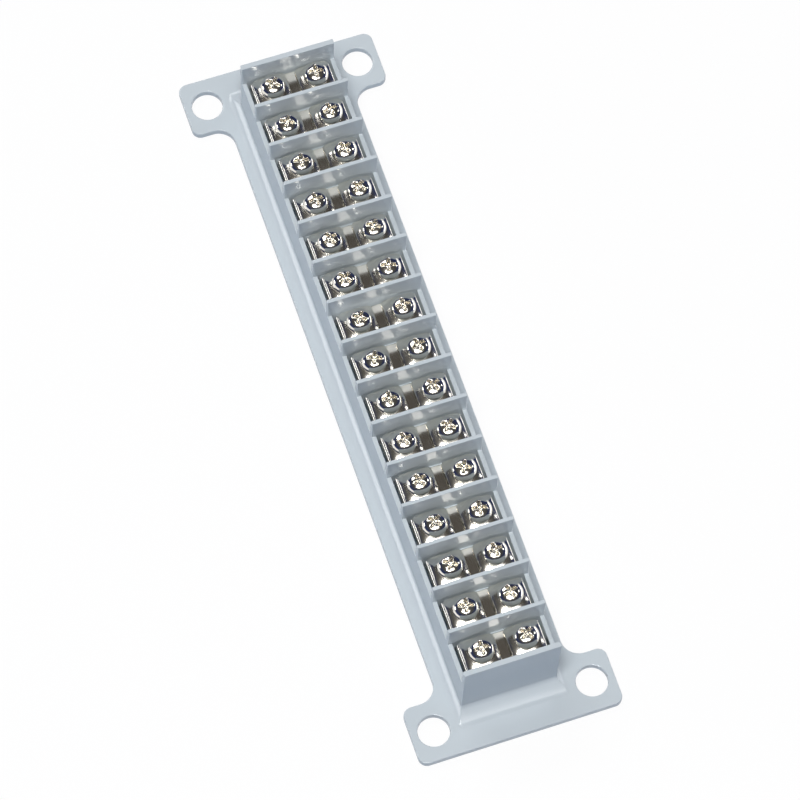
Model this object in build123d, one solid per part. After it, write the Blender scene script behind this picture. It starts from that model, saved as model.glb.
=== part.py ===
from build123d import *
import os

# Fifteen pole, double row barrier terminal block. Millimetres, +Z up, mounting face at Z 0,
# origin at the middle of that face, poles in a row along Y, wires enter along X.

# Poles
pole_count = 15
pole_pitch = 10.0

# Barriers and end walls of the housing
body_width = 21.6
barrier_height = 20.3
barrier_tip_thickness = 0.85
end_wall_tip_thickness = 1.2
wall_draft = 0.15
ledge_drop = 6.8
side_wall_thickness = 1.0

# Floor that carries the bars, slotted at both ends, and the cored bay with its ribs below it
seat_depth = 0.8
floor_thickness = 2.0
bay_wall_thickness = 1.5
bay_rib_thickness = 1.0
bay_rib_depth = 3.0

# Sloping foot round the body
foot_height = 1.4
foot_side_reach = 1.6
foot_end_reach = 3.6

# Mounting flange and ears
flange_thickness = 1.6
flange_side_reach = 3.8
flange_end_reach = 9.4
ear_reach = 8.4
ear_length = 13.2
ear_corner_radius = 2.0
ear_root_radius = 4.0
mount_hole_diameter = 7.0
mount_edge_distance = 5.1

# Terminal bar, both ends bent down into the slots of the floor
bar_thickness = 1.2
bar_end_gap = 0.6
bar_side_gap = 0.6
bar_bend_radius = 0.6
bar_leg_length = 1.6
bar_corner_radius = 0.6
leg_clearance = 0.1
collar_diameter = 3.7
collar_length = 1.8
collar_clearance = 0.1

# Terminal screw, thread left plain at the size between crest and root
screw_spacing = 10.0
thread_diameter = 2.8
thread_clearance = 0.1
screw_length = 10.0
tip_chamfer = 0.4
head_diameter = 5.6
head_height = 2.4
head_side_height = 0.9
recess_span = 3.2
recess_width = 0.75
recess_depth = 1.5
recess_turn_step = 37.0

# Spring washer and dished clamp washer, both captive on the screw
spring_washer_diameter = 5.2
spring_washer_thickness = 0.7
spring_washer_slit = 0.5
washer_bore_clearance = 0.3
clamp_width = 7.8
clamp_thickness = 0.5
clamp_rise = 1.3
clamp_corner_radius = 0.8

# Length by which a cutter passes beyond the face it cuts
overcut = 1.0

# Heights that follow
flange_top = flange_thickness
barrier_top = flange_top + barrier_height
ledge_top = barrier_top - ledge_drop
floor_top = ledge_top - seat_depth
bar_top = floor_top + bar_thickness
bay_top = floor_top - floor_thickness
clamp_top = bar_top + clamp_rise + clamp_thickness
head_seat = clamp_top + spring_washer_thickness

# Lengths that follow
body_length = pole_count * pole_pitch + end_wall_tip_thickness
flange_width = body_width + 2 * flange_side_reach
flange_length = body_length + 2 * flange_end_reach
ear_span = flange_width + 2 * ear_reach
ear_middle = (flange_length - ear_length) / 2
mount_spacing_x = ear_span - 2 * mount_edge_distance
mount_spacing_y = 2 * ear_middle
cell_width = body_width - 2 * side_wall_thickness
bar_length = cell_width - 2 * bar_end_gap
leg_inner_span = bar_length - 2 * bar_thickness
slot_inner_span = leg_inner_span - 2 * leg_clearance
barrier_root_thickness = barrier_tip_thickness + 2 * wall_draft
bar_width = pole_pitch - barrier_root_thickness - 2 * bar_side_gap
bore_diameter = thread_diameter + 2 * washer_bore_clearance


def pole_y(pole):
    return (pole - (pole_count - 1) / 2) * pole_pitch


def flange_outline():
    outline = Rectangle(flange_width, flange_length)
    for side in (-1, 1):
        outline += Pos(0, side * ear_middle) * Rectangle(ear_span, ear_length)
    roots = [v for v in outline.vertices() if abs(v.X) < ear_span / 2 - ear_reach / 2]
    outline = fillet(roots, ear_root_radius)
    corners = [v for v in outline.vertices() if abs(v.Y) > ear_middle - ear_length]
    corners = [v for v in corners if abs(v.X) > ear_span / 2 - ear_reach / 4]
    return fillet(corners, ear_corner_radius)


def mount_holes():
    places = GridLocations(mount_spacing_x, mount_spacing_y, 2, 2)
    return places * Circle(mount_hole_diameter / 2)


def sloping_foot():
    wide = Rectangle(body_width + 2 * foot_side_reach, body_length + 2 * foot_end_reach)
    narrow = Rectangle(body_width, body_length)
    return loft([Pos(0, 0, flange_top) * wide, Pos(0, 0, flange_top + foot_height) * narrow])


def pole_profile(pole, low):
    """Drafted outline of one pole in the YZ plane, from the height low to above the barriers."""
    near_tip = end_wall_tip_thickness if pole == 0 else barrier_tip_thickness
    far_tip = end_wall_tip_thickness if pole == pole_count - 1 else barrier_tip_thickness
    near = pole_y(pole) - (pole_pitch - near_tip) / 2
    far = pole_y(pole) + (pole_pitch - far_tip) / 2
    slope = wall_draft / (barrier_top - floor_top)
    inset = slope * (barrier_top - low)
    over = barrier_top + overcut
    flare = slope * overcut
    return Plane.YZ * make_face(
        Polyline(
            (near + inset, low),
            (far - inset, low),
            (far + flare, over),
            (near - flare, over),
            close=True,
        )
    )


def pole_cutter(pole):
    """Pocket between the side walls, gap above the ledges, and a slot through the floor at each end."""
    pocket = extrude(pole_profile(pole, floor_top), cell_width / 2, both=True)
    gap = extrude(pole_profile(pole, ledge_top), body_width, both=True)
    through = extrude(pole_profile(pole, bay_top - overcut), cell_width / 2, both=True)
    between = Box(slot_inner_span, pole_pitch, 2 * (floor_top - bay_top + overcut))
    slots = through - Pos(0, pole_y(pole), bay_top - overcut) * between
    return pocket + gap + slots


def floor_holes():
    hole = Cylinder(collar_diameter / 2 + collar_clearance, floor_thickness + 2 * overcut)
    return [
        Pos(side * screw_spacing / 2, pole_y(pole), floor_top - floor_thickness / 2) * hole
        for pole in range(pole_count)
        for side in (-1, 1)
    ]


def bay():
    """Open underside of the body, with a short rib across it below each barrier."""
    width = body_width - 2 * bay_wall_thickness
    length = body_length - 2 * bay_wall_thickness
    hollow = Box(width, length, bay_top, align=(Align.CENTER, Align.CENTER, Align.MIN))
    rib = Box(
        width,
        bay_rib_thickness,
        bay_rib_depth,
        align=(Align.CENTER, Align.CENTER, Align.MAX),
    )
    ribs = [Pos(0, pole_y(pole) + pole_pitch / 2, bay_top) * rib for pole in range(pole_count - 1)]
    return hollow - ribs


def make_housing():
    flange = extrude(flange_outline() - mount_holes(), flange_thickness)
    body = Pos(0, 0, flange_top) * Box(
        body_width,
        body_length,
        barrier_height,
        align=(Align.CENTER, Align.CENTER, Align.MIN),
    )
    housing = flange + sloping_foot() + body
    housing = housing - [pole_cutter(pole) for pole in range(pole_count)]
    return housing - bay() - floor_holes()


def make_terminal_bar():
    """Flat strip with a leg bent down at each end and two tapped collars below it."""
    height = bar_thickness + bar_leg_length
    plate = Pos(0, 0, bar_thickness - height / 2) * Box(bar_length, bar_width, height)
    bends = plate.edges().filter_by(Axis.Y).group_by(Axis.Z)[-1]
    plate = fillet(bends, bar_bend_radius)
    corners = plate.edges().filter_by(Axis.X).group_by(Axis.Z)[0]
    plate = fillet(corners, bar_corner_radius)
    plate -= Pos(0, 0, -height / 2) * Box(leg_inner_span, pole_pitch, height)
    places = GridLocations(screw_spacing, bar_width, 2, 1)
    collars = extrude(Sketch() + places * Circle(collar_diameter / 2), -collar_length)
    tapped = Circle(thread_diameter / 2 + thread_clearance)
    holes = extrude(Sketch() + places * tapped, bar_thickness + collar_length, both=True)
    return Pos(0, 0, floor_top) * (plate + collars - holes)


def make_screw():
    head_radius = head_diameter / 2
    thread_radius = thread_diameter / 2
    side_top = (head_radius, head_side_height)
    crown = (0, head_height)
    shoulder = (head_radius * 0.66, head_side_height + (head_height - head_side_height) * 0.7)
    outline = Polyline(
        crown,
        (0, -screw_length),
        (thread_radius - tip_chamfer, -screw_length),
        (thread_radius, tip_chamfer - screw_length),
        (thread_radius, 0),
        (head_radius, 0),
        side_top,
    ) + ThreePointArc(side_top, shoulder, crown)
    blank = revolve(Plane.XZ * make_face(outline), Axis.Z)
    slot = Pos(0, 0, head_height - recess_depth) * Box(
        recess_span,
        recess_width,
        recess_depth + overcut,
        align=(Align.CENTER, Align.CENTER, Align.MIN),
    )
    return blank - slot - Rot(0, 0, 90) * slot


def make_spring_washer():
    ring = Circle(spring_washer_diameter / 2) - Circle(bore_diameter / 2)
    slit = Pos(spring_washer_diameter / 2, 0) * Rectangle(spring_washer_diameter, spring_washer_slit)
    return extrude(ring - slit, -spring_washer_thickness)


def make_clamp_washer():
    """Square washer, dished so that it bears on its rounded corners and rises to the bore."""
    bore = bore_diameter / 2
    half = clamp_width / 2
    bearing = (half - clamp_corner_radius) * 2**0.5 + clamp_corner_radius
    outer = half * 2**0.5
    middle = (bore + outer) / 2
    bend = clamp_rise / (bearing**2 - bore**2)
    top = -spring_washer_thickness
    middle_top = top - bend * (middle**2 - bore**2)
    outer_top = top - bend * (outer**2 - bore**2)
    upper = ThreePointArc((bore, top), (middle, middle_top), (outer, outer_top))
    lower = Pos(0, -clamp_thickness) * upper
    sides = Line(upper @ 0, lower @ 0) + Line(upper @ 1, lower @ 1)
    dish = revolve(Plane.XZ * make_face(upper + lower + sides), Axis.Z)
    height = clamp_rise + clamp_thickness
    blank = extrude(RectangleRounded(clamp_width, clamp_width, clamp_corner_radius), -height)
    return dish & Pos(0, 0, top) * blank


def main():
    os.makedirs("parts", exist_ok=True)
    export_step(make_housing(), "parts/housing.step")
    bar = make_terminal_bar()
    screw = make_screw()
    spring_washer = make_spring_washer()
    clamp_washer = make_clamp_washer()
    for pole in range(pole_count):
        number = f"{pole + 1:02d}"
        export_step(Pos(0, pole_y(pole), 0) * bar, f"parts/terminal_bar_{number}.step")
        for side, row in ((-1, "left"), (1, "right")):
            place = Pos(side * screw_spacing / 2, pole_y(pole), head_seat)
            turn = (2 * pole + (side + 1) / 2) * recess_turn_step
            terminal = Compound(
                children=[
                    place * Rot(0, 0, turn) * screw,
                    place * spring_washer,
                    place * clamp_washer,
                ]
            )
            export_step(terminal, f"parts/terminal_screw_{number}_{row}.step")


main()
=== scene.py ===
import math

import bmesh
import bpy
from mathutils import Euler, Matrix, Vector


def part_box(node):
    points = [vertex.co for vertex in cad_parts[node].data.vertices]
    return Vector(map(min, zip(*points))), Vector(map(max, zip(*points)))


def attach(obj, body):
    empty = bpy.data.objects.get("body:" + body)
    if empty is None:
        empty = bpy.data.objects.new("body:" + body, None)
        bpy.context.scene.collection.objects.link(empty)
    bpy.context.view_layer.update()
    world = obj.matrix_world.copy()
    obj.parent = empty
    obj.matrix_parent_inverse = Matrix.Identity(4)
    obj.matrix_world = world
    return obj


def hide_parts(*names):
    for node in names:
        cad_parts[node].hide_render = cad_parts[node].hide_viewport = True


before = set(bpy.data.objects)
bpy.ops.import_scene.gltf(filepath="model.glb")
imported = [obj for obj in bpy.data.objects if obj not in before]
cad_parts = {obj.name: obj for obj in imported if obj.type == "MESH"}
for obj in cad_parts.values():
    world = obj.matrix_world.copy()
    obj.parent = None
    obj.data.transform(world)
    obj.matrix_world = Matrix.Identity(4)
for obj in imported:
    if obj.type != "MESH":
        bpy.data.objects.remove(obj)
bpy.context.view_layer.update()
mm = 0.001
print("frame loaded,", len(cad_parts), "nodes")


class Wire:  # one socket of a node tree, so that sums and nodes can be written as expressions
    def __init__(self, tree, socket=None):
        self.tree = tree
        self.socket = socket

    def node(self, kind, settings=None, inputs=None, output=0):
        made = self.tree.nodes.new(kind)
        for name, value in (settings or {}).items():
            if name == "stops":
                fillRamp(made.color_ramp, value)
            else:
                setattr(made, name, value)
        for name, value in (inputs or {}).items():
            target = pickSocket(made.inputs, name)
            for one in value if isinstance(value, list) else [value]:
                if isinstance(one, Wire):
                    self.tree.links.new(one.socket, target)
                else:
                    target.default_value = one
        return None if output is None else Wire(self.tree, pickSocket(made.outputs, output))

    def math(self, operation, *values):
        return self.node("ShaderNodeMath", {"operation": operation}, dict(enumerate(values)))

    def blend(self, low, high):
        ends = {"Factor": self, "A": low, "B": high}
        return self.node("ShaderNodeMix", {"data_type": "RGBA"}, ends, "Result")

    def __add__(self, other):
        return self.math("ADD", self, other)

    def __radd__(self, other):
        return self.math("ADD", other, self)

    def __sub__(self, other):
        return self.math("SUBTRACT", self, other)

    def __rsub__(self, other):
        return self.math("SUBTRACT", other, self)

    def __mul__(self, other):
        return self.math("MULTIPLY", self, other)

    def __rmul__(self, other):
        return self.math("MULTIPLY", other, self)


def pickSocket(sockets, name):
    if isinstance(name, int):
        return sockets[name]
    return next(s for s in sockets if s.name == name and s.enabled)


def fillRamp(ramp, stops):
    while len(ramp.elements) < len(stops):
        ramp.elements.new(0.5)
    for element, (position, colour) in zip(ramp.elements, stops):
        element.position = position
        element.color = (*colour, 1.0)


def startMaterial(name):
    material = bpy.data.materials.new(name)
    material.use_nodes = True
    material.node_tree.nodes.clear()
    return material, Wire(material.node_tree)


def closeMaterial(wire, shader):
    wire.node("ShaderNodeOutputMaterial", {}, {"Surface": shader}, None)


def noise(wire, coords, scale, detail=3.0, stretch=(1.0, 1.0, 1.0)):
    place = wire.node("ShaderNodeMapping", {}, {"Vector": coords, "Scale": stretch}, "Vector")
    return wire.node("ShaderNodeTexNoise", {}, {"Vector": place, "Scale": scale, "Detail": detail}, 0)


def relief(wire, height, distance):
    return wire.node("ShaderNodeBump", {}, {"Height": height, "Distance": distance, "Strength": 1.0})


plastic = {
    "colour": (0.575, 0.635, 0.670),
    "cloudColour": (0.590, 0.648, 0.680),
    "roughness": 0.08,
    "cloudScale": 60.0,
    "cloudRoughness": 0.08,
    "grainScale": 2600.0,
    "grainRoughness": 0.04,
    "grainHeight": 0.004 * mm,
    "IOR": 1.5,
}


def mouldedPlastic():
    material, wire = startMaterial("mouldedPlastic")
    coords = wire.node("ShaderNodeTexCoord", {}, {}, "Object")
    cloud = noise(wire, coords, plastic["cloudScale"])
    grain = noise(wire, coords, plastic["grainScale"])
    colour = cloud.blend((*plastic["colour"], 1.0), (*plastic["cloudColour"], 1.0))
    rough = plastic["roughness"] + plastic["cloudRoughness"] * cloud + plastic["grainRoughness"] * grain
    bump = relief(wire, grain, plastic["grainHeight"])
    shader = wire.node(
        "ShaderNodeBsdfPrincipled",
        {},
        {"Base Color": colour, "Roughness": rough, "Normal": bump, "IOR": plastic["IOR"]},
    )
    closeMaterial(wire, shader)
    return material


plating = {
    "colour": (0.90, 0.87, 0.80),
    "tint": (0.80, 0.77, 0.70),
    "cloudScale": 350.0,
    "scratchScale": 900.0,
    "scratchDetail": 4.0,
    "scratchStretch": (1.0, 0.25, 1.0),
    "scratchRoughness": 0.08,
    "scratchHeight": 0.002 * mm,
    "screwRoughness": 0.10,
    "washerRoughness": 0.14,
    "barRoughness": 0.12,
}


def nickelPlating(name, roughness):
    material, wire = startMaterial(name)
    coords = wire.node("ShaderNodeTexCoord", {}, {}, "Object")
    cloud = noise(wire, coords, plating["cloudScale"])
    stretch = plating["scratchStretch"]
    scratch = noise(wire, coords, plating["scratchScale"], plating["scratchDetail"], stretch)
    colour = cloud.blend((*plating["colour"], 1.0), (*plating["tint"], 1.0))
    rough = roughness + plating["scratchRoughness"] * scratch
    bump = relief(wire, scratch, plating["scratchHeight"])
    shader = wire.node(
        "ShaderNodeBsdfPrincipled",
        {},
        {"Base Color": colour, "Metallic": 1.0, "Roughness": rough, "Normal": bump},
    )
    closeMaterial(wire, shader)
    return material


plasticMaterial = mouldedPlastic()
screwMaterial = nickelPlating("brightNickel", plating["screwRoughness"])
washerMaterial = nickelPlating("washerNickel", plating["washerRoughness"])
barMaterial = nickelPlating("barNickel", plating["barRoughness"])
print("materials made")


def newPiece(name, mesh):
    piece = bpy.data.objects.new(name, mesh)
    bpy.context.scene.collection.objects.link(piece)
    return piece


def coat(piece, material):
    piece.data.materials.clear()
    piece.data.materials.append(material)


def settle(piece, name):  # the evaluated piece as a plain mesh in an object of its own
    bpy.context.view_layer.update()
    shape = bpy.data.meshes.new_from_object(piece.evaluated_get(bpy.context.evaluated_depsgraph_get()))
    shape.name = name
    bpy.data.objects.remove(piece)
    return newPiece(name, shape)


softening = {
    "mergeDistance": 0.001 * mm,
    "flatAngle": 0.2,
    "sharpAngle": 50.0,
    "faceWeight": 80,
}


def smoothShape(piece):  # soft shading over the rounded edges, flat faces kept flat
    name = piece.name
    piece.data.shade_smooth()
    piece.data.set_sharp_from_angle(angle=math.radians(softening["sharpAngle"]))
    weighted = piece.modifiers.new("weighted", "WEIGHTED_NORMAL")
    weighted.keep_sharp = True
    weighted.weight = softening["faceWeight"]
    piece.name = name + "Draft"
    return settle(piece, name)


def softenedCopy(node, name, edgeRound, segments, offset=(0, 0, 0)):
    # edgeRound(middle, angle, convex) gives an edge's rounding in metres
    work = bmesh.new()
    work.from_mesh(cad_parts[node].data)
    bmesh.ops.remove_doubles(work, verts=work.verts, dist=softening["mergeDistance"])
    flat = math.radians(softening["flatAngle"])
    bmesh.ops.dissolve_limit(work, angle_limit=flat, verts=work.verts, edges=work.edges)
    bmesh.ops.translate(work, vec=Vector(offset), verts=work.verts)
    weights = work.edges.layers.float.new("bevel_weight_edge")
    for edge in work.edges:
        if len(edge.link_faces) == 2:
            angle = math.degrees(edge.calc_face_angle(0.0))
            middle = (edge.verts[0].co + edge.verts[1].co) / 2
            edge[weights] = edgeRound(middle, angle, edge.is_convex) / mm
    mesh = bpy.data.meshes.new(name)
    work.to_mesh(mesh)
    work.free()
    piece = newPiece(name + "Blank", mesh)
    bevel = piece.modifiers.new("rounded", "BEVEL")
    bevel.limit_method = "WEIGHT"
    bevel.width = mm
    bevel.segments = segments
    bevel.use_clamp_overlap = False
    bevel.miter_outer = "MITER_ARC"
    return smoothShape(settle(piece, name))


housing = {
    "edge": 0.16 * mm,
    "outline": 0.28 * mm,
    "footInner": 0.30 * mm,
    "footInnerEnd": 0.90 * mm,
    "footMitre": 0.22 * mm,
    "footOuter": 0.80 * mm,
    "roundSteps": 3,
    "leastAngle": 8.0,
    "leastBodyAngle": 30.0,
    "near": 0.02 * mm,
    "flangeTop": 1.6 * mm,
    "footTop": 3.0 * mm,
    "ledgeTop": 15.1 * mm,
    "halfWidth": 10.8 * mm,
    "halfLength": 75.6 * mm,
}


def housingRound(middle, angle, convex):
    near = housing["near"]
    if middle.z < near or angle < housing["leastAngle"]:
        return 0.0
    if abs(middle.z - housing["flangeTop"]) < near:
        return housing["outline"] if convex else housing["footOuter"]
    if middle.z < housing["flangeTop"]:
        return 0.0
    atSide = abs(middle.x) > housing["halfWidth"] - near
    atEnd = abs(middle.y) > housing["halfLength"] - near
    if abs(middle.z - housing["footTop"]) < near:
        return housing["footInnerEnd"] if atEnd else housing["footInner"]
    if middle.z < housing["footTop"]:
        return housing["footMitre"]
    if atSide or atEnd or middle.z > housing["ledgeTop"] - near:
        return housing["edge"] if angle > housing["leastBodyAngle"] else 0.0
    return 0.0


housingPiece = softenedCopy("housing", "mouldedHousing", housingRound, housing["roundSteps"])
coat(housingPiece, plasticMaterial)
print("housing made,", len(housingPiece.data.polygons), "faces")


def ringMesh(name, rings, joined=False):
    # quads between rings of equal length, where a ring of one point closes the shape
    work = bmesh.new()
    rows = [[work.verts.new(point) for point in ring] for ring in rings]
    pairs = list(zip(rows, rows[1:])) + ([(rows[-1], rows[0])] if joined else [])
    for low, high in pairs:
        count = max(len(low), len(high))
        for i in range(count):
            j = (i + 1) % count
            corners = [low[i % len(low)], low[j % len(low)], high[j % len(high)], high[i % len(high)]]
            work.faces.new(list(dict.fromkeys(corners)))
    bmesh.ops.recalc_face_normals(work, faces=work.faces)
    for face in work.faces:
        face.smooth = True
    mesh = bpy.data.meshes.new(name)
    work.to_mesh(mesh)
    work.free()
    return mesh


def raised(outline, height):  # a flat outline lifted to the height that a function gives at each point
    return [point.to_3d() + Vector((0, 0, height(point))) for point in outline]


screw = {
    "headRadius": 2.8 * mm,
    "headHeight": 2.4 * mm,
    "sideHeight": 0.9 * mm,
    "rimRound": 0.14 * mm,
    "rimShare": 0.3,
    "neckRadius": 1.5 * mm,
    "neckLength": 0.2 * mm,
    "coreRadius": 1.22 * mm,
    "length": 10.0 * mm,
    "tip": 0.5 * mm,
    "armReach": 1.6 * mm,
    "armHalf": 0.375 * mm,
    "armReachDeep": 0.85 * mm,
    "armHalfDeep": 0.26 * mm,
    "recessDepth": 1.5 * mm,
    "floorShare": 0.5,
    "floorDrop": 0.7,
    "wallShares": (0.25, 0.5, 0.75, 0.92),
    "lip": 0.13 * mm,
    "lipSteps": ((0.0, 1.0), (0.15, 0.42), (0.5, 0.1), (1.0, 0.0)),  # outward and downward shares
    "crownShares": (0.12, 0.28, 0.44, 0.6, 0.74, 0.86, 0.94, 0.98, 1.0),
    "sideSteps": 7,
    "endSteps": 6,
    "turnStep": 37.0,
}


def crossOutline(reach, half):  # outline of a cross, arm by arm, with softly rounded arm ends
    points = []
    for arm in range(4):
        turn = Matrix.Rotation(math.radians(90 * arm), 2)
        along = [half + (reach - 1.5 * half) * i / screw["sideSteps"] for i in range(screw["sideSteps"] + 1)]
        points += [turn @ Vector((out, -half)) for out in along[:-1]]
        for i in range(screw["endSteps"]):
            angle = math.radians(-90 + 180 * i / screw["endSteps"])
            out = reach - half / 2 + half / 2 * math.cos(angle)
            points.append(turn @ Vector((out, half * math.sin(angle))))
        points += [turn @ Vector((out, half)) for out in reversed(along[1:])]
    return points


def domeHeight(point):
    share = min(point.length / screw["headRadius"], 1.0)
    return screw["sideHeight"] + (screw["headHeight"] - screw["sideHeight"]) * math.sqrt(1 - share * share)


def screwMesh():
    lip = screw["lip"]
    mouth = crossOutline(screw["armReach"], screw["armHalf"])
    deep = crossOutline(screw["armReachDeep"], screw["armHalfDeep"])
    bottom = screw["headHeight"] - screw["recessDepth"]
    rings = [[Vector((0, 0, bottom - lip))]]  # from the recess floor up its walls
    floor = [p * screw["floorShare"] for p in deep]
    rings.append(raised(floor, lambda p: bottom - lip * screw["floorDrop"]))
    rings.append(raised(deep, lambda p: bottom))
    for share in screw["wallShares"]:
        ring = []
        for low, high in zip(deep, mouth):
            height = bottom + (domeHeight(high) - lip - bottom) * share
            ring.append(low.lerp(high, share).to_3d() + Vector((0, 0, height)))
        rings.append(ring)
    for out, down in screw["lipSteps"]:  # rounded mouth of the recess
        grown = crossOutline(screw["armReach"] + out * lip, screw["armHalf"] + out * lip)
        rings.append(raised(grown, lambda p: domeHeight(p) - down * lip))
    count = len(mouth)
    angles = [math.radians(-45 + 360 * i / count) for i in range(count)]
    circle = [Vector((math.cos(angle), math.sin(angle))) for angle in angles]
    for share in screw["crownShares"]:  # from the cross to the round head
        crown = [p.lerp(c * screw["headRadius"], share) for p, c in zip(grown, circle)]
        rings.append(raised(crown, domeHeight))
    radius, rim, core = screw["headRadius"], screw["rimRound"], screw["coreRadius"]
    small = rim * screw["rimShare"]
    lower = [  # radius and height, down the head's side and the neck to the tip
        (radius, screw["sideHeight"] * 0.5),
        (radius, rim),
        (radius - small, small),
        (radius - rim, 0.0),
        (screw["neckRadius"], 0.0),
        (core, -screw["neckLength"]),
        (core, -screw["length"] + screw["tip"]),
        (core - screw["tip"], -screw["length"]),
    ]
    for radius, height in lower:
        rings.append(raised([c * radius for c in circle], lambda p: height))
    rings.append([Vector((0, 0, -screw["length"]))])
    return ringMesh("screwBlank", rings)


washer = {
    "half": 3.9 * mm,
    "corner": 0.8 * mm,
    "bore": 1.7 * mm,
    "thickness": 0.5 * mm,
    "rise": 1.3 * mm,
    "curve": 3.0,
    "edge": 0.14 * mm,
    "edgeSteps": ((0.3, 0.3), (0.0, 1.0)),  # inward and downward shares
    "sideSteps": 14,
    "cornerSteps": 8,
    "ringShares": (0.0, 0.12, 0.25, 0.4, 0.52, 0.64, 0.76, 0.86, 0.94, 1.0),
    "top": -0.7 * mm,
}


def squareOutline(inset):
    half = washer["half"] - inset
    radius = washer["corner"] - inset
    centre = Vector((half - radius, half - radius))
    points = []
    for side in range(4):
        turn = Matrix.Rotation(math.radians(90 * side), 2)
        for i in range(washer["sideSteps"]):
            along = 2 * i / washer["sideSteps"] - 1
            points.append(turn @ Vector((half, (half - radius) * along)))
        for i in range(washer["cornerSteps"]):
            angle = math.radians(90 * i / washer["cornerSteps"])
            points.append(turn @ (centre + radius * Vector((math.cos(angle), math.sin(angle)))))
    return points


def washerMesh():  # dish that falls from the bore to the four corners
    edge, curve, thickness = washer["edge"], washer["curve"], washer["thickness"]
    cornerPoint = washer["half"] - washer["corner"] * (1 - math.sqrt(0.5))
    fall = washer["rise"] / (2 * cornerPoint**curve)

    def dish(below):
        return lambda p: washer["top"] - fall * (abs(p.x) ** curve + abs(p.y) ** curve) - below

    def spread(share):
        return [(p.normalized() * (washer["bore"] + edge)).lerp(p, share) for p in squareOutline(edge)]

    # top face, rounded outer edge, underside, then up the bore
    rings = [raised(spread(share), dish(0.0)) for share in washer["ringShares"]]
    for inset, down in washer["edgeSteps"]:
        rings.append(raised(squareOutline(inset * edge), dish(down * edge)))
    for inset, up in reversed(washer["edgeSteps"]):
        rings.append(raised(squareOutline(inset * edge), dish(thickness - up * edge)))
    rings += [raised(spread(share), dish(thickness)) for share in reversed(washer["ringShares"])]
    bore = [p.normalized() * washer["bore"] for p in squareOutline(edge)]
    rings += [raised(bore, dish(thickness - edge)), raised(bore, dish(edge))]
    return ringMesh("washerBlank", rings, True)


thread = {
    "pitch": 0.5 * mm,
    "crest": 1.42 * mm,
    "depth": 0.24 * mm,
    "start": -9.5 * mm,
    "length": 6.0 * mm,
    "steps": 28,
    "sides": 4,
}
springRing = {
    "radius": 2.13 * mm,
    "width": 0.94 * mm,
    "height": 0.70 * mm,
    "corner": 0.10 * mm,
    "cornerSteps": 2,
    "opening": 12.0,
    "steps": 56,
}


def addInput(tree, name, kind, value):
    socket = tree.interface.new_socket(name=name, in_out="INPUT", socket_type=kind)
    if value is not None:
        socket.default_value = value
    return socket.identifier


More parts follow.
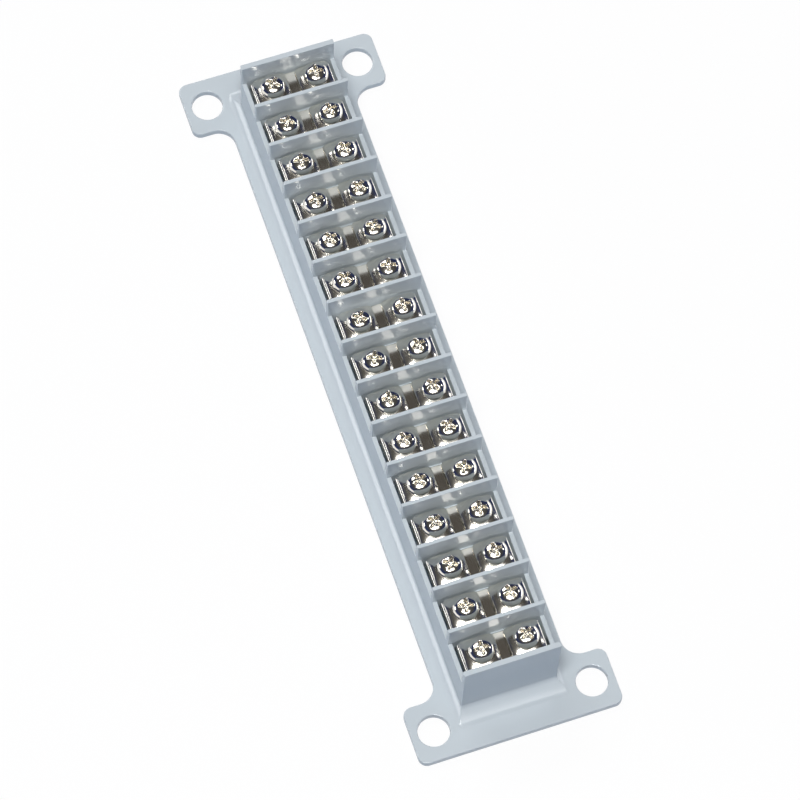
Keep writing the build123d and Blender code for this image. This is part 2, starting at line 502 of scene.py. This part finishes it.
def terminalTree():  # screw with its thread, split spring washer and clamp washer, set at a place
    tree = bpy.data.node_groups.new("terminalScrewTree", "GeometryNodeTree")
    inputs = {
        "Place": addInput(tree, "Place", "NodeSocketVector", None),
        "Turn": addInput(tree, "Turn", "NodeSocketFloat", 0.0),
        "Thread crest": addInput(tree, "Thread crest", "NodeSocketFloat", thread["crest"]),
        "Thread pitch": addInput(tree, "Thread pitch", "NodeSocketFloat", thread["pitch"]),
        "Thread length": addInput(tree, "Thread length", "NodeSocketFloat", thread["length"]),
        "Ring radius": addInput(tree, "Ring radius", "NodeSocketFloat", springRing["radius"]),
        "Ring height": addInput(tree, "Ring height", "NodeSocketFloat", springRing["height"]),
    }
    tree.interface.new_socket(name="Geometry", in_out="OUTPUT", socket_type="NodeSocketGeometry")
    wire = Wire(tree)
    entry = tree.nodes.new("NodeGroupInput")
    given = {name: Wire(tree, entry.outputs[name]) for name in inputs}

    # screw with the ridge of its thread, turned together
    blank = wire.node("GeometryNodeObjectInfo", {}, {"Object": bpy.data.objects["screwBlank"]}, "Geometry")
    crest = given["Thread crest"]
    length = given["Thread length"]
    spiral = wire.node(
        "GeometryNodeCurveSpiral",
        {},
        {
            "Resolution": thread["steps"],
            "Rotations": length.math("DIVIDE", length, given["Thread pitch"]),
            "Start Radius": crest - thread["depth"],
            "End Radius": crest - thread["depth"],
            "Height": length,
        },
    )
    ridge = wire.node(
        "GeometryNodeCurvePrimitiveCircle",
        {"mode": "RADIUS"},
        {"Resolution": thread["sides"], "Radius": thread["depth"]},
        "Curve",
    )
    helix = wire.node(
        "GeometryNodeCurveToMesh", {}, {"Curve": spiral, "Profile Curve": ridge, "Fill Caps": True}
    )
    helix = wire.node(
        "GeometryNodeTransform", {}, {"Geometry": helix, "Translation": (0.0, 0.0, thread["start"])}
    )
    turned = wire.node("GeometryNodeJoinGeometry", {}, {"Geometry": [blank, helix]})
    angle = wire.node("ShaderNodeCombineXYZ", {}, {"Z": given["Turn"]})
    turned = wire.node("GeometryNodeTransform", {}, {"Geometry": turned, "Rotation": angle})

    # spring washer, a rounded section swept round an open arc
    opening = math.radians(springRing["opening"])
    arc = wire.node(
        "GeometryNodeCurveArc",
        {"mode": "RADIUS"},
        {
            "Resolution": springRing["steps"],
            "Radius": given["Ring radius"],
            "Start Angle": opening / 2,
            "Sweep Angle": 2 * math.pi - opening,
        },
        "Curve",
    )
    section = wire.node(
        "GeometryNodeCurvePrimitiveQuadrilateral",
        {"mode": "RECTANGLE"},
        {"Width": springRing["width"], "Height": given["Ring height"]},
    )
    section = wire.node(
        "GeometryNodeFilletCurve",
        {"mode": "POLY"},
        {"Curve": section, "Count": springRing["cornerSteps"], "Radius": springRing["corner"]},
    )
    split = wire.node(
        "GeometryNodeCurveToMesh", {}, {"Curve": arc, "Profile Curve": section, "Fill Caps": True}
    )
    down = wire.node("ShaderNodeCombineXYZ", {}, {"Z": given["Ring height"] * -0.5})
    split = wire.node("GeometryNodeTransform", {}, {"Geometry": split, "Translation": down})

    # both set at their place with the clamp washer, each in its finish
    hard = wire.node("GeometryNodeJoinGeometry", {}, {"Geometry": [turned, split]})
    hard = wire.node("GeometryNodeTransform", {}, {"Geometry": hard, "Translation": given["Place"]})
    hard = wire.node("GeometryNodeRealizeInstances", {}, {"Geometry": hard})
    hard = wire.node("GeometryNodeSetMaterial", {}, {"Geometry": hard, "Material": screwMaterial})
    square = wire.node("GeometryNodeObjectInfo", {}, {"Object": bpy.data.objects["washerBlank"]}, "Geometry")
    square = wire.node("GeometryNodeTransform", {}, {"Geometry": square, "Translation": given["Place"]})
    square = wire.node("GeometryNodeRealizeInstances", {}, {"Geometry": square})
    square = wire.node("GeometryNodeSetMaterial", {}, {"Geometry": square, "Material": washerMaterial})
    both = wire.node("GeometryNodeJoinGeometry", {}, {"Geometry": [hard, square]})
    wire.node("NodeGroupOutput", {}, {"Geometry": both}, None)
    return tree, inputs


def grow(name, tree, identifiers, values):  # one plain mesh from a tree
    piece = newPiece(name + "Seed", bpy.data.meshes.new(name + "Seed"))
    modifier = piece.modifiers.new("grow", "NODES")
    modifier.node_group = tree
    for key, value in values.items():
        modifier[identifiers[key]] = value
    return settle(piece, name)


blanks = [newPiece("screwBlank", screwMesh()), newPiece("washerBlank", washerMesh())]
screwTree, screwInputs = terminalTree()
screwNodes = sorted(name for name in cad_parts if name.startswith("terminal_screw"))
for number, node in enumerate(screwNodes):
    low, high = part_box(node)
    seat = Vector(((low.x + high.x) / 2, (low.y + high.y) / 2, high.z - screw["headHeight"]))
    turn = math.radians(screw["turnStep"] * number)
    plated = node.replace("terminal_", "plated_")
    piece = grow(plated, screwTree, screwInputs, {"Place": tuple(seat), "Turn": turn})
    body = node.replace("terminal_", "")
    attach(piece, body)
    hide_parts(node)
print("screws made,", len(screwNodes), "of", len(piece.data.polygons), "faces")


bars = {
    "edge": 0.22 * mm,
    "roundSteps": 2,
    "leastAngle": 30.0,
}


def barRound(middle, angle, convex):
    return bars["edge"] if angle > bars["leastAngle"] and convex else 0.0


barNodes = sorted(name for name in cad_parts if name.startswith("terminal_bar"))
firstLow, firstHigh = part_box(barNodes[0])
secondLow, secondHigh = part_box(barNodes[1])
firstPlace = (firstLow + firstHigh) / 2
barBlank = softenedCopy(barNodes[0], "barBlank", barRound, bars["roundSteps"], -firstPlace)
blanks.append(barBlank)


def barRowTree():  # terminal bars repeated along the block
    tree = bpy.data.node_groups.new("barRowTree", "GeometryNodeTree")
    inputs = {
        "Count": addInput(tree, "Count", "NodeSocketInt", len(barNodes)),
        "Start": addInput(tree, "Start", "NodeSocketVector", None),
        "Step": addInput(tree, "Step", "NodeSocketVector", None),
    }
    tree.interface.new_socket(name="Geometry", in_out="OUTPUT", socket_type="NodeSocketGeometry")
    wire = Wire(tree)
    entry = tree.nodes.new("NodeGroupInput")
    given = {name: Wire(tree, entry.outputs[name]) for name in inputs}
    line = wire.node(
        "GeometryNodeMeshLine",
        {"mode": "OFFSET", "count_mode": "TOTAL"},
        {"Count": given["Count"], "Start Location": given["Start"], "Offset": given["Step"]},
    )
    blank = wire.node("GeometryNodeObjectInfo", {}, {"Object": barBlank}, "Geometry")
    row = wire.node("GeometryNodeInstanceOnPoints", {}, {"Points": line, "Instance": blank})
    row = wire.node("GeometryNodeRealizeInstances", {}, {"Geometry": row})
    row = wire.node("GeometryNodeSetMaterial", {}, {"Geometry": row, "Material": barMaterial})
    wire.node("NodeGroupOutput", {}, {"Geometry": row}, None)
    return tree, inputs


rowTree, rowInputs = barRowTree()
step = secondLow - firstLow
barPiece = grow("plated_bars", rowTree, rowInputs, {"Start": tuple(firstPlace), "Step": tuple(step)})
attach(barPiece, "block")
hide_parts(*barNodes)
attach(housingPiece, "block")
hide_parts("housing")
for blank in blanks:
    bpy.data.objects.remove(blank)
print("bars and housing placed")


studio = {
    "floorSize": 6.0,
    "floorLevel": -0.05 * mm,
    "floorSeen": (0.97, 0.97, 0.97),
    "floorSpeck": (0.98, 0.98, 0.98),
    "speckScale": 4.0,
    "floorBounce": (0.22, 0.30, 0.40),
    "floorGlow": 0.90,
    "coverX": 11.0 * mm,  # half size of the floor that the body covers
    "coverY": 76.0 * mm,
    "flangeX": 14.6 * mm,  # half size of the floor that the flange covers
    "flangeY": 85.0 * mm,
    "underGlow": 0.35,
    "worldStops": [  # colour at each height, from level to straight up
        (0.04, (0.60, 0.66, 0.74)),
        (0.10, (0.02, 0.03, 0.10)),
        (0.50, (0.02, 0.03, 0.09)),
        (0.80, (0.05, 0.048, 0.045)),
        (1.0, (0.09, 0.08, 0.07)),
    ],
    "target": (0.0, 0.0, 0.01),
    "distance": 1.6,
}
softBoxes = [
    {"name": "overBox", "towards": (-0.18, -0.26, 0.95), "width": 0.55, "height": 0.45, "level": 23.5},
    {"name": "frontBox", "towards": (0.16, -0.355, 0.92), "width": 0.40, "height": 0.36, "level": 3.5},
    {"name": "farBox", "towards": (-0.15, 0.65, 0.745), "width": 1.00, "height": 0.32, "level": 5.0},
    {"name": "leftBox", "towards": (-0.89, 0.37, 0.27), "width": 0.5, "height": 0.26, "level": 5.0},
    {"name": "rightBox", "towards": (0.80, 0.11, 0.59), "width": 0.15, "height": 0.15, "level": 8.0},
    {"name": "rightFillBox", "towards": (0.985, 0.10, 0.11), "width": 1.6, "height": 0.25, "level": 3.6},
    {"name": "backFillBox", "towards": (0.10, 0.985, 0.12), "width": 1.5, "height": 0.25, "level": 3.0},
]


def placeLights():
    centre = Vector(studio["target"])
    for box in softBoxes:
        lamp = bpy.data.lights.new(box["name"], "AREA")
        lamp.shape = "RECTANGLE"
        lamp.size = box["width"]
        lamp.size_y = box["height"]
        lamp.energy = box["level"] * math.pi * box["width"] * box["height"]
        towards = Vector(box["towards"]).normalized()
        place = bpy.data.objects.new(box["name"], lamp)
        place.location = centre + towards * studio["distance"]
        place.rotation_euler = towards.to_track_quat("Z", "Y").to_euler()
        bpy.context.scene.collection.objects.link(place)
    world = bpy.data.worlds.new("studioWorld")
    bpy.context.scene.world = world
    world.use_nodes = True
    world.node_tree.nodes.clear()
    wire = Wire(world.node_tree)
    towards = wire.node("ShaderNodeTexCoord", {}, {}, "Generated")
    height = wire.node("ShaderNodeSeparateXYZ", {}, {"Vector": towards}, "Z")
    colour = wire.node("ShaderNodeValToRGB", {"stops": studio["worldStops"]}, {"Fac": height}, "Color")
    back = wire.node("ShaderNodeBackground", {}, {"Color": colour})
    wire.node("ShaderNodeOutputWorld", {}, {"Surface": back}, None)


def placeFloor():
    material, wire = startMaterial("paperFloor")
    coords = wire.node("ShaderNodeTexCoord", {}, {}, "Object")
    speck = noise(wire, coords, studio["speckScale"])
    seen = wire.node("ShaderNodeLightPath", {}, {}, "Is Camera Ray")
    seen = seen + wire.node("ShaderNodeLightPath", {}, {}, "Is Glossy Ray")
    seen = seen + wire.node("ShaderNodeLightPath", {}, {}, "Is Transmission Ray")
    acrossAt = wire.node("ShaderNodeSeparateXYZ", {}, {"Vector": coords}, "X")
    alongAt = wire.node("ShaderNodeSeparateXYZ", {}, {"Vector": coords}, "Y")
    across = wire.math("GREATER_THAN", wire.math("ABSOLUTE", acrossAt), studio["coverX"])
    along = wire.math("GREATER_THAN", wire.math("ABSOLUTE", alongAt), studio["coverY"])
    seen = seen * wire.math("MAXIMUM", across, along)  # paper below the body isn't seen as white
    paper = speck.blend((*studio["floorSeen"], 1.0), (*studio["floorSpeck"], 1.0))
    paper = seen.blend((*studio["floorBounce"], 1.0), paper)
    plain = wire.node("ShaderNodeBsdfDiffuse", {}, {"Color": paper})
    white = wire.node("ShaderNodeEmission", {}, {"Strength": 1.0})
    shader = wire.node("ShaderNodeMixShader", {}, {0: seen * studio["floorGlow"], 1: plain, 2: white})
    # soft light from below the flange, so that the ribbed bay can be seen
    hidden = wire.math("LESS_THAN", wire.math("ABSOLUTE", acrossAt), studio["flangeX"])
    hidden = hidden * wire.math("LESS_THAN", wire.math("ABSOLUTE", alongAt), studio["flangeY"])
    hidden = hidden * wire.node("ShaderNodeLightPath", {}, {}, "Is Diffuse Ray")
    underLight = wire.node("ShaderNodeEmission", {}, {"Strength": studio["underGlow"]})
    shader = wire.node("ShaderNodeMixShader", {}, {0: hidden, 1: shader, 2: underLight})
    under = wire.node("ShaderNodeNewGeometry", {}, {}, "Backfacing")
    clear = wire.node("ShaderNodeBsdfTransparent")
    shader = wire.node("ShaderNodeMixShader", {}, {0: under, 1: shader, 2: clear})
    closeMaterial(wire, shader)
    half = studio["floorSize"] / 2
    mesh = bpy.data.meshes.new("studioFloor")
    corners = [(-half, -half, 0), (half, -half, 0), (half, half, 0), (-half, half, 0)]
    mesh.from_pydata(corners, [], [(0, 1, 2, 3)])
    floor = newPiece("studioFloor", mesh)
    coat(floor, material)
    floor.location.z = studio["floorLevel"]


camera = {
    "place": (-0.1412832, -0.3500392, 0.8680458),
    "turn": (0.40678198, -0.02501473, -0.32946841),
    "lens": 193.5,
    "sensor": 36.0,
    "clipStart": 0.01,
}


def placeCamera():
    data = bpy.data.cameras.new("photoCamera")
    data.lens = camera["lens"]
    data.sensor_width = camera["sensor"]
    data.sensor_height = camera["sensor"]
    data.sensor_fit = "HORIZONTAL"
    data.clip_start = camera["clipStart"]
    holder = bpy.data.objects.new("photoCamera", data)
    holder.location = camera["place"]
    holder.rotation_euler = Euler(camera["turn"], "XYZ")
    bpy.context.scene.collection.objects.link(holder)
    bpy.context.scene.camera = holder


placeLights()
placeFloor()
placeCamera()
bpy.context.scene.view_settings.view_transform = "Standard"
print("studio set")

bpy.context.view_layer.update()
